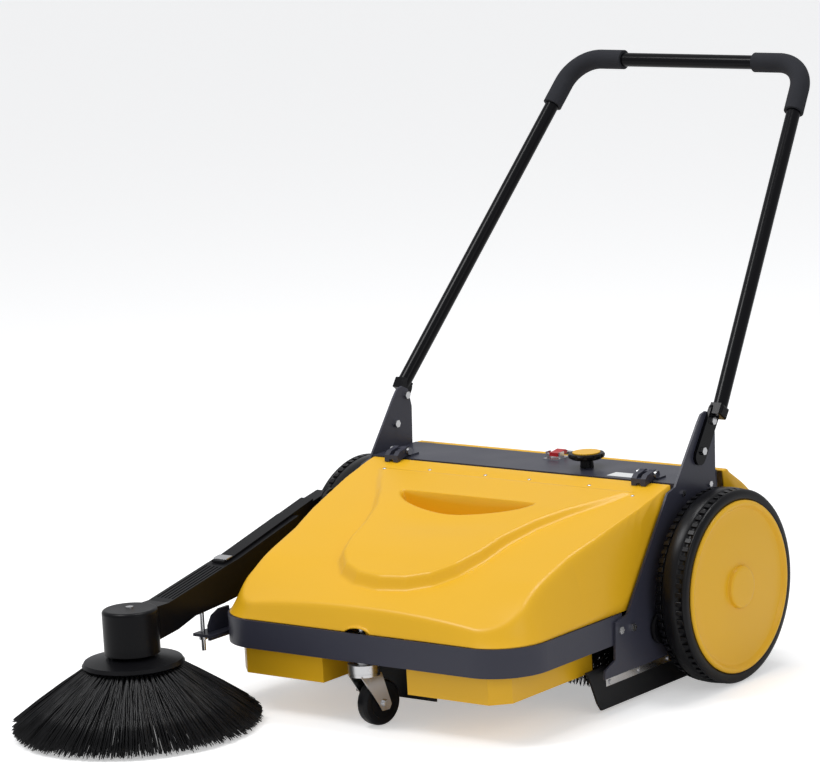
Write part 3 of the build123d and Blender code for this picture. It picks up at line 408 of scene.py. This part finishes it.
def make_rear_cover():
    back_line = COVER_TOP + [tuple(q) for q in smooth_line(COVER_CURVE)]
    outline = back_line + COVER_FRONT
    verts = [at(x, y, z) for x in (-COVER_HALF, COVER_HALF) for y, z in outline]
    count = len(outline)
    faces = [(k, k + 1, count + k + 1, count + k) for k in range(len(back_line) - 1)]
    faces += [tuple(range(count)), tuple(range(2 * count - 1, count - 1, -1))]
    cover = mesh_object("rear_cover_shell", verts, faces)
    outward(cover)
    rim = cover.modifiers.new("rounded_ends", "BEVEL")
    rim.width = COVER_ROUND * MM
    rim.segments = 4
    rim.limit_method = "ANGLE"
    rim.angle_limit = COVER_ROUND_ANGLE
    rim.harden_normals = True
    thicken(cover, COVER_WALL)
    finish_piece(cover, "rear_cover", "yellow_plastic", "rear_cover")


# ------------------------------------------------------------------ wheels
# the wheel's face from its rim to its hub, as (x outwards, radius)
WHEEL_FACE = [
    (399.5, 146), (402.5, 145.9), (404.8, 144.9), (406.0, 142.8), (406.2, 140.0), (405.2, 137.8),
    (402.4, 136.0), (400.4, 134.0), (400.0, 130.0), (400.6, 115), (401.8, 90), (402.6, 60), (402.9, 42),
    (402.9, 37.6), (403.2, 36.6), (404.2, 36.2), (408.6, 35.6), (410.0, 34.6), (410.7, 32.4), (410.9, 29),
    (410.95, 12), (410.95, 0.01),
]
# the tyre under its blocks, as (x outwards, radius)
TYRE_BODY = [
    (339.5, 145.5), (339.5, 152), (340.5, 156), (343.5, 159), (348, 160.4), (354.5, 160.6), (356, 163.2),
    (358.5, 164.5), (370.5, 165), (380, 164.6), (382.5, 163.4), (384, 160.8), (393.5, 160.8), (395, 163.4),
    (397.5, 163.6), (400.3, 161.6), (402, 157.5), (402, 151), (401.3, 145.5), (339.5, 145.5),
]
# each row of blocks: ((x, outer radius) at both ends, offset as a share of one step)
TREAD_ROWS = [((343.0, 162.2), (354.5, 164.4), 0.0), ((383.5, 164.4), (394.5, 163.4), 0.5)]
TREAD_COUNT, TREAD_SHARE, TREAD_ROOT_R, TREAD_ROUND = 66, 0.52, 154, 0.6
BLOCK_FACES = [(0, 1, 2, 3), (4, 7, 6, 5), (0, 4, 5, 1), (1, 5, 6, 2), (2, 6, 7, 3), (3, 7, 4, 0)]


def make_tread(side, name):
    verts, faces = [], []
    step = FULL_TURN / TREAD_COUNT
    for low_end, high_end, phase in TREAD_ROWS:
        for i in range(TREAD_COUNT):
            a0 = FULL_TURN * (i + phase) / TREAD_COUNT
            a1 = a0 + step * TREAD_SHARE
            base = len(verts)
            for x, top in (low_end, high_end):
                for a, r in ((a0, TREAD_ROOT_R), (a1, TREAD_ROOT_R), (a1, top), (a0, top)):
                    verts.append(at(side * x, r * math.cos(a), AXLE_Z + r * math.sin(a)))
            faces += [tuple(base + k for k in face) for face in BLOCK_FACES]
    tread = mesh_object(f"tread_{name}", verts, faces, smooth=False)
    outward(tread)
    soft = tread.modifiers.new("edge", "BEVEL")
    soft.width = TREAD_ROUND * MM
    soft.segments = 1
    finish_piece(tread, f"wheel_{name}", "tyre_rubber")


def make_wheel(side, name):
    face = revolved_x(f"wheel_face_{name}", WHEEL_FACE, side, 0, AXLE_Z)
    finish_piece(face, f"wheel_{name}", "yellow_plastic", f"hub_cap_{name}")
    make_tread(side, name)
    carcass = revolved_x(f"tyre_body_{name}", TYRE_BODY, side, 0, AXLE_Z, steps=192)
    finish_piece(carcass, f"wheel_{name}", "tyre_rubber", f"tyre_{name}")


# ------------------------------------------------------------------ bristles
STRAND_SEGMENTS, STRAND_SIDES, STRAND_TAPER = 3, 3, 0.35


def strands(name, roots_tips, width, bend):
    """Three-sided filaments, each from a root to a tip with a slight bend."""
    verts, faces = [], []
    for root, tip in roots_tips:
        root, tip = Vector(root), Vector(tip)
        along = (tip - root).normalized()
        side = along.orthogonal().normalized()
        other = along.cross(side)
        sag = bend * rng.uniform(0.3, 1.0)
        base = len(verts)
        for s in range(STRAND_SEGMENTS + 1):
            t = s / STRAND_SEGMENTS
            mid = root.lerp(tip, t) + Vector((0, 0, sag * MM * 4 * t * (1 - t)))
            w = width * MM * (1 - STRAND_TAPER * t)
            for c in range(STRAND_SIDES):
                a = FULL_TURN * c / STRAND_SIDES
                verts.append(mid + side * (w * math.cos(a)) + other * (w * math.sin(a)))
        for s in range(STRAND_SEGMENTS):
            for c in range(STRAND_SIDES):
                p = base + s * STRAND_SIDES + c
                q = base + s * STRAND_SIDES + (c + 1) % STRAND_SIDES
                faces.append((p, q, q + STRAND_SIDES, p + STRAND_SIDES))
        end = base + STRAND_SEGMENTS * STRAND_SIDES
        faces.append((end, end + 1, end + 2))
    return mesh_object(name, verts, faces)


SIDE_TUFTS, SIDE_PER_TUFT = 64, 74
SIDE_ROOT_R, SIDE_ROOT_SPREAD, SIDE_ROOT_Z, SIDE_ROOT_RISE = 56, 24, 106.5, 1.5
SIDE_TIP_R, SIDE_TIP_Z = (198, 210.6), 3
# a strand rooted at the inner edge of the ring ends lower and up to this much shorter
SIDE_SHORTER, SIDE_RING_RISE = 14, 16
SIDE_ROOT_JITTER, SIDE_TIP_JITTER, SIDE_TIP_Z_JITTER = 0.012, 0.052, (-1.5, 2.5)
SIDE_WIDTH, SIDE_BEND = 1.15, 3.0


def make_side_bristles():
    """Tufts set in a ring under the plate, spreading to a wide cone on the floor."""
    pairs = []
    for tuft in range(SIDE_TUFTS):
        a = FULL_TURN * tuft / SIDE_TUFTS
        for _ in range(SIDE_PER_TUFT):
            # 0 at the inner edge of the ring of tufts, 1 at the outer edge
            ring = rng.random()
            root_a = a + rng.gauss(0, SIDE_ROOT_JITTER)
            tip_a = a + rng.gauss(0, SIDE_TIP_JITTER)
            root_r = SIDE_ROOT_R + SIDE_ROOT_SPREAD * ring
            tip_r = rng.uniform(*SIDE_TIP_R) - SIDE_SHORTER * (1 - ring) * rng.random()
            root_z = SIDE_ROOT_Z + SIDE_ROOT_RISE * ring
            tip_z = SIDE_TIP_Z + SIDE_RING_RISE * ring + rng.uniform(*SIDE_TIP_Z_JITTER)
            pairs.append((at(HEAD_X + root_r * math.cos(root_a), HEAD_Y + root_r * math.sin(root_a), root_z),
                          at(HEAD_X + tip_r * math.cos(tip_a), HEAD_Y + tip_r * math.sin(tip_a), tip_z)))
    bristles = strands("side_bristles", pairs, SIDE_WIDTH, SIDE_BEND)
    finish_piece(bristles, "side_brush", "bristle", "side_brush_bristles")


MAIN_ROWS, MAIN_STEPS, MAIN_PITCH, MAIN_FIRST_X, MAIN_PER_STEP = 12, 94, 6, -279, 5
MAIN_ROOT_R = 33
MAIN_TIP_R = (112, 115.6)
# radians of turn for each millimetre along the roller
MAIN_TWIST = 0.9 / 280
MAIN_ROOT_JITTER, MAIN_TIP_JITTER, MAIN_X_JITTER, MAIN_TIP_X_JITTER = 0.03, 0.10, (-2.5, 2.5), 2
MAIN_WIDTH, MAIN_BEND = 0.9, 0.0


def make_main_bristles():
    """Rows of bristles that wind slowly round the roller."""
    pairs = []
    for row in range(MAIN_ROWS):
        for step in range(MAIN_STEPS):
            x = MAIN_FIRST_X + MAIN_PITCH * step
            a = FULL_TURN * row / MAIN_ROWS + MAIN_TWIST * x
            for _ in range(MAIN_PER_STEP):
                root_a = a + rng.gauss(0, MAIN_ROOT_JITTER)
                tip_a = a + rng.gauss(0, MAIN_TIP_JITTER)
                tip_r = rng.uniform(*MAIN_TIP_R)
                root_x = x + rng.uniform(*MAIN_X_JITTER)
                pairs.append((at(root_x, BRUSH_Y + MAIN_ROOT_R * math.cos(root_a),
                                 BRUSH_Z + MAIN_ROOT_R * math.sin(root_a)),
                              at(root_x + rng.gauss(0, MAIN_TIP_X_JITTER), BRUSH_Y + tip_r * math.cos(tip_a),
                                 BRUSH_Z + tip_r * math.sin(tip_a))))
    bristles = strands("main_bristles", pairs, MAIN_WIDTH, MAIN_BEND)
    finish_piece(bristles, "main_brush", "bristle", "main_brush_bristles")


# ------------------------------------------------------------------ side brush arm
ARM_OUT, ARM_IN = -369.0, -340.0
# the strip's outline from the side, as (y, z)
STRIP = [(-430, 239.4), (-446, 237.0), (-446, 238.6), (-430, 241.0)]


def make_guard_strip():
    """A bright strip across the lower end of the arm's guard."""
    verts = [at(x, y, z) for x in (ARM_OUT, ARM_IN) for y, z in STRIP]
    strip = mesh_object("guard_strip", verts, BLOCK_FACES, smooth=False)
    outward(strip)
    finish_piece(strip, "arm", "zinc")


make_hood()
for number, (screw_x, screw_y) in enumerate(SCREW_PLACES):
    make_hood_screw(number, screw_x, screw_y)
make_rear_cover()
make_wheel(-1, "left")
make_wheel(1, "right")
make_side_bristles()
make_main_bristles()
make_guard_strip()

# ------------------------------------------------------------------ floor and backdrop
FLOOR_SIZE, FLOOR_LEVEL, FLOOR_SHADE, FLOOR_ROUGH, FLOOR_GLOW = 40, -0.0005, 0.86, 0.8, 0.42
AMBIENT_COLOUR, AMBIENT_STRENGTH = (0.93, 0.94, 0.96, 1), 0.56
BACKDROP_SHADE = 0.905


def make_floor():
    bpy.ops.mesh.primitive_plane_add(size=FLOOR_SIZE, location=(0, 0, FLOOR_LEVEL))
    floor = bpy.context.object
    floor.name = "floor"
    finish = bpy.data.materials.new("floor")
    finish.use_nodes = True
    tree = finish.node_tree
    shader = tree.nodes["Principled BSDF"]
    shader.inputs["Base Color"].default_value = (FLOOR_SHADE, FLOOR_SHADE, FLOOR_SHADE, 1)
    shader.inputs["Roughness"].default_value = FLOOR_ROUGH
    # a faint glow, seen but casting no light, keeps the floor evenly pale far from the lights
    seen = tree.nodes.new("ShaderNodeLightPath")
    strength = tree.nodes.new("ShaderNodeMath")
    strength.operation = "MULTIPLY"
    strength.inputs[1].default_value = FLOOR_GLOW
    glow = tree.nodes.new("ShaderNodeEmission")
    both = tree.nodes.new("ShaderNodeAddShader")
    tree.links.new(seen.outputs["Is Camera Ray"], strength.inputs[0])
    tree.links.new(strength.outputs[0], glow.inputs["Strength"])
    tree.links.new(shader.outputs[0], both.inputs[0])
    tree.links.new(glow.outputs[0], both.inputs[1])
    tree.links.new(both.outputs[0], tree.nodes["Material Output"].inputs["Surface"])
    floor.data.materials.append(finish)


def make_sky():
    """Soft even light, with a pale backdrop where no floor is seen."""
    world = bpy.context.scene.world or bpy.data.worlds.new("world")
    bpy.context.scene.world = world
    world.use_nodes = True
    sky = world.node_tree
    ambient = sky.nodes["Background"]
    ambient.inputs["Color"].default_value = AMBIENT_COLOUR
    ambient.inputs["Strength"].default_value = AMBIENT_STRENGTH
    backdrop = sky.nodes.new("ShaderNodeBackground")
    backdrop.inputs["Color"].default_value = (BACKDROP_SHADE, BACKDROP_SHADE, BACKDROP_SHADE, 1)
    ray = sky.nodes.new("ShaderNodeLightPath")
    pick = sky.nodes.new("ShaderNodeMixShader")
    sky.links.new(ray.outputs["Is Camera Ray"], pick.inputs["Fac"])
    sky.links.new(ambient.outputs[0], pick.inputs[1])
    sky.links.new(backdrop.outputs[0], pick.inputs[2])
    sky.links.new(pick.outputs[0], sky.nodes["World Output"].inputs["Surface"])


# ------------------------------------------------------------------ lights and camera
LIGHT_AIM = (0, 0, 0.3)


def area(name, where, size, power):
    light = bpy.data.lights.new(name, "AREA")
    light.shape = "RECTANGLE"
    light.size, light.size_y = size
    light.energy = power
    obj = bpy.data.objects.new(name, light)
    obj.location = where
    obj.rotation_mode = "QUATERNION"
    obj.rotation_quaternion = (Vector(LIGHT_AIM) - Vector(where)).to_track_quat("-Z", "Y")
    bpy.context.scene.collection.objects.link(obj)


# the camera stands in front and to the right, a little above, and leans slightly to one side
AZ, EL, ROLL = math.radians(38.19), math.radians(10.315), math.radians(-3.296)
CAMERA_PLACE = (4166.4, -5642.4, 1766.1)
CAMERA_LENS, CAMERA_SENSOR = 182.0, 36.0
CAMERA_SHIFT_X, CAMERA_SHIFT_Y = -0.0009, -0.0012


def make_camera():
    back = Vector((math.sin(AZ) * math.cos(EL), -math.cos(AZ) * math.cos(EL), math.sin(EL)))
    right = Vector((math.cos(AZ), math.sin(AZ), 0))
    up = back.cross(right)
    right_rolled = right * math.cos(ROLL) + up * math.sin(ROLL)
    up_rolled = -right * math.sin(ROLL) + up * math.cos(ROLL)
    lens = bpy.data.cameras.new("camera")
    lens.sensor_width = CAMERA_SENSOR
    lens.lens = CAMERA_LENS
    lens.shift_x = CAMERA_SHIFT_X
    lens.shift_y = CAMERA_SHIFT_Y
    lens.clip_end = 100
    camera = bpy.data.objects.new("camera", lens)
    bpy.context.scene.collection.objects.link(camera)
    camera.rotation_mode = "QUATERNION"
    camera.rotation_quaternion = Matrix((right_rolled, up_rolled, back)).transposed().to_quaternion()
    camera.location = at(*CAMERA_PLACE)
    bpy.context.scene.camera = camera


make_floor()
make_sky()
area("key", (-1.4, -1.5, 3.8), (1.4, 1.4), 62)
area("fill", (3.4, -1.4, 1.8), (2.0, 2.0), 17)
area("top", (0.2, 0.6, 3.6), (1.6, 1.0), 40)
make_camera()
bpy.context.scene.view_settings.view_transform = "Standard"
bpy.context.scene.view_settings.look = "None"
